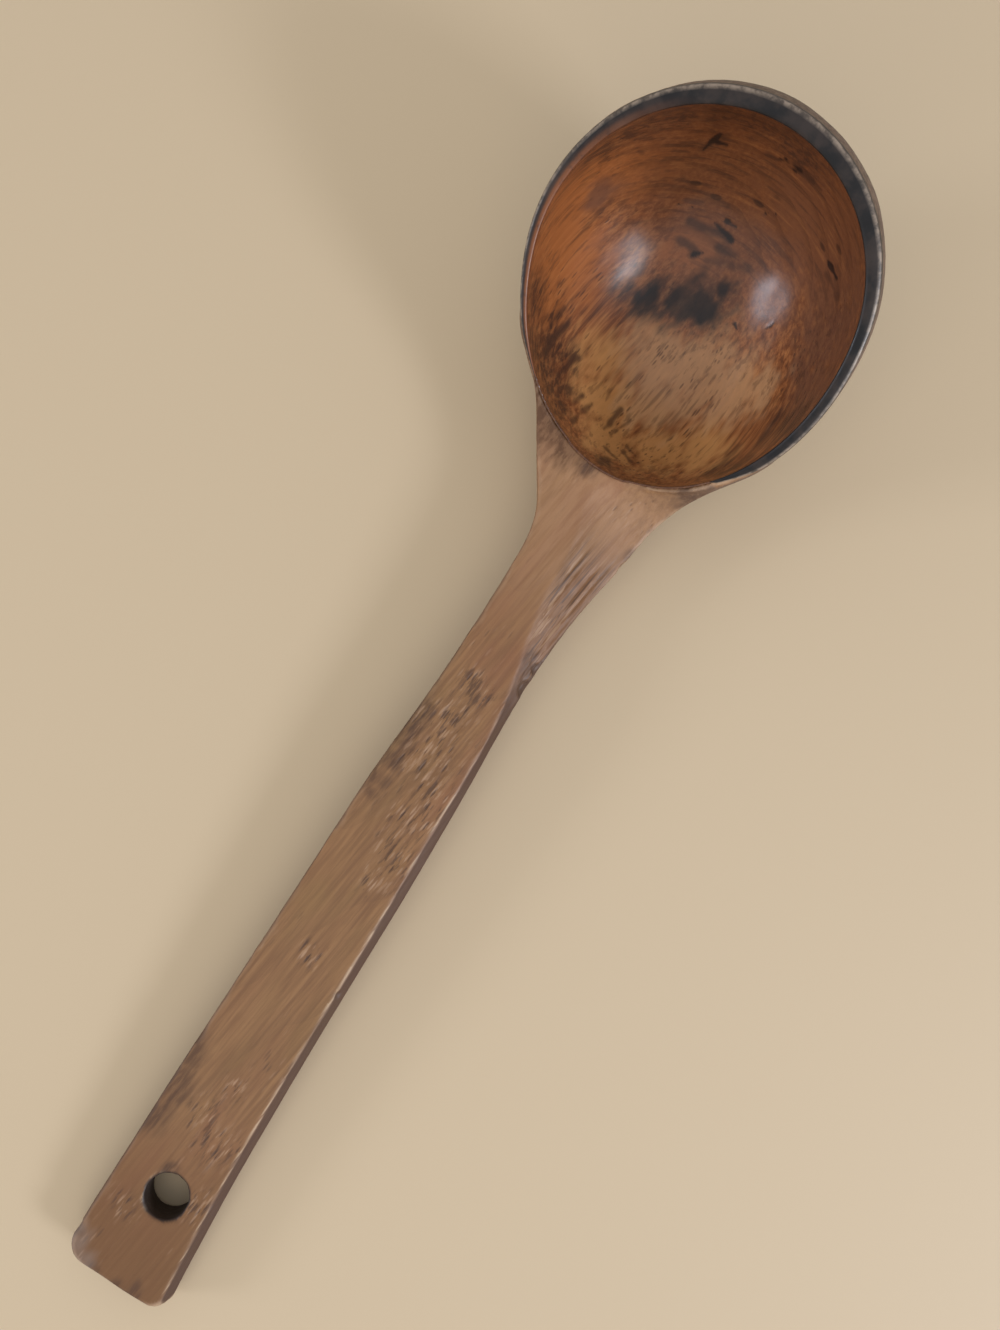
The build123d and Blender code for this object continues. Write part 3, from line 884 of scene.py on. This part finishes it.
def oiledWood():
    look = woodLook
    material, tree = newMaterial("oiled wood, knife carved")
    marks = grainMarks(tree, look, ["fibre", "patch"])
    # pores, and pale flecks of painted light, lie thick in some patches and where the grain is torn
    low, high, few, many = look["patchy"]
    patchy = addNode(tree, "ShaderNodeMapRange",
                     {"interpolation_type": "SMOOTHSTEP", 1: low, 2: high, 3: few, 4: many},
                     {0: marks["patch"]})
    torn = addNode(tree, "ShaderNodeAttribute", {"attribute_name": "torn"})
    dense = addNode(tree, "ShaderNodeMath", {"operation": "MAXIMUM"},
                    {0: patchy.outputs[0], 1: torn.outputs["Fac"]})
    for name in ("pores", "litFlecks"):
        thick = addNode(tree, "ShaderNodeMath", {"operation": "MULTIPLY"},
                        {0: marks[name], 1: dense.outputs[0]})
        marks[name] = thick.outputs[0]
    colour = paintLayers(tree, marks, look, fibreColour(tree, marks, look))
    height = addNode(tree, "ShaderNodeMath", {"operation": "MULTIPLY_ADD", 1: -look["poreDepth"]},
                     {0: marks["pores"], 2: marks["fibre"]})
    finishMaterial(tree, look, colour, height.outputs[0], marks["fibre"])
    return material


# Clear amber lacquer brushed into the hollow: the grain shows through, darker where food and heat
# have worn it, with painted shadow under the lip, a partly painted reflection on its floor, and a soft gloss
bowlLook = {
    "deep": "#6b3d22", "mid": "#8f5833", "light": "#b07444",
    "amber": "#b26a35",
    "ochre": "#cb955a",
    # pale tan, partly a painted reflection
    "tan": "#c2966b",
    "tip": "#74462a",
    "ruddy": "#664536",
    "shade": "#3f2a20",
    # colour of the dark band across the floor of the hollow
    "darkBand": "#181112",
    "crack": "#1d1513",
    "ring": "#4f2e1c",
    "ior": 1.5,
    "rough": (0.5, 0.38), "roughOver": (0.35, 0.7),
    "bump": 0.2 * mm, "bumpStrength": 0.35,
    "patchy": (0.4, 0.66, 0.1, 0.95),
    "poreDepth": 0.9,
    "specular": 0.15,  # the coat does the shining, not the wood under it
    "coat": 0.9, "coatRough": 0.27,
    "layers": [
        ("amber", 0.7, "amber"),
        ("ruddy", 0.75, "ruddy"),
        ("ochre", 0.8, "ochre"),
        ("tan", 0.75, "tan"),
        ("tip", 0.75, "tipWall"),
        ("ring", 0.38, "tipWall", "rings", 0.6, 1.0),
        ("shade", 0.5, "tipWall", "tip", 0.5, 0.36),
        ("light", 0.25, "tipWall", "tip", 0.56, 0.7),
        ("shade", 0.4, "side", "groove", 0.48, 0.34),
        ("crack", 0.6, "tipWall", "pits"),
        # darker worn patches, and painted shadow under the lip at the top left
        ("shade", 0.85, "shade", "groove", 0.6, 0.4, 0.4),
        ("shade", 0.6, None, "pores"),
        ("darkBand", 0.97, "darkBand", "patch", 0.25, 0.6, 0.75),
        ("shade", 0.9, "stroke"),
        ("crack", 0.9, "crack"),
        ("shade", 0.7, "brim"),
    ],
}


def amberLacquer():
    look = bowlLook
    material, tree = newMaterial("clear amber lacquer over wood")
    marks = grainMarks(tree, look, ["fibre", "patch", "tone"])
    # pores lie in patches, and none show on the tip's wall, where the grain stands on end
    low, high, few, many = look["patchy"]
    patchy = addNode(tree, "ShaderNodeMapRange",
                     {"interpolation_type": "SMOOTHSTEP", 1: low, 2: high, 3: few, 4: many},
                     {0: marks["patch"]})
    side = addNode(tree, "ShaderNodeAttribute", {"attribute_name": "side"})
    dense = addNode(tree, "ShaderNodeMath", {"operation": "MULTIPLY"},
                    {0: patchy.outputs[0], 1: side.outputs["Fac"]})
    thick = addNode(tree, "ShaderNodeMath", {"operation": "MULTIPLY"},
                    {0: marks["pores"], 1: dense.outputs[0]})
    marks["pores"] = thick.outputs[0]
    colour = paintLayers(tree, marks, look, fibreColour(tree, marks, look))
    height = addNode(tree, "ShaderNodeMath", {"operation": "MULTIPLY_ADD", 1: -look["poreDepth"]},
                     {0: marks["pores"], 2: marks["fibre"]})
    shader = finishMaterial(tree, look, colour, height.outputs[0], marks["tone"])
    shader.inputs["Specular IOR Level"].default_value = look["specular"]
    shader.inputs["Coat Weight"].default_value = look["coat"]
    shader.inputs["Coat Roughness"].default_value = look["coatRough"]
    return material


# Dark lacquer brushed over the lip: brown-black and satin, rubbed back to pale wood along its outer edge
rimLook = {
    "dark": "#0f0d0e", "brown": "#2a201b",
    "pale": "#a3917f",
    "bared": "#874c22",
    "mottle": 5.0,  # millimetres
    "chips": 2.2,
    "cloud": {3: 4.0, 4: 0.6},  # detail and roughness of both patterns
    "mottleSpread": (0.4, 0.68),
    "ior": 1.45,
    "rough": (0.36, 0.55), "roughOver": (0.3, 0.7),
    "bump": 0.15 * mm, "bumpStrength": 0.4,
    "layers": [
        ("bared", 0.85, "bared", "chips", 0.3, 0.5, 0.6),
        ("pale", 0.75, "rubbed", "chips", 0.38, 0.62, 0.25),
    ],
}


def darkLacquer():
    look = rimLook
    material, tree = newMaterial("dark lacquer, rubbed at the edge")
    spot = addNode(tree, "ShaderNodeTexCoord")
    inMm = addNode(tree, "ShaderNodeMapping", {3: (1 / mm, 1 / mm, 1 / mm)}, {0: spot.outputs["Object"]})
    marks = {}
    for name in ("mottle", "chips"):
        cloud = addNode(tree, "ShaderNodeTexNoise", {2: 1 / look[name], **look["cloud"]},
                        {0: inMm.outputs[0]})
        marks[name] = cloud.outputs[0]
    low, high = look["mottleSpread"]
    spread = addNode(tree, "ShaderNodeMapRange", {"interpolation_type": "SMOOTHSTEP", 1: low, 2: high},
                     {0: marks["mottle"]})
    mottled = addNode(tree, "ShaderNodeMix",
                      {"data_type": "RGBA", 6: hexColour(look["dark"]), 7: hexColour(look["brown"])},
                      {0: spread.outputs[0]})
    colour = paintLayers(tree, marks, look, mottled.outputs[2])
    finishMaterial(tree, look, colour, marks["mottle"], marks["mottle"])
    return material


newPiece("carvedWood", woodMesh, oiledWood(), "oiled_wood", "carved_wood")
bowlPiece = newPiece("bowlLacquer", bowlMesh, amberLacquer(), "amber_lacquer", "bowl_lacquer")
shell = bowlPiece.modifiers.new("thickness", "SOLIDIFY")
shell.thickness = bowlCoat["thickness"]
shell.offset = -1
newPiece("rimLacquer", rimMesh, darkLacquer(), "dark_lacquer", "rim_lacquer")
print("pieces dressed")
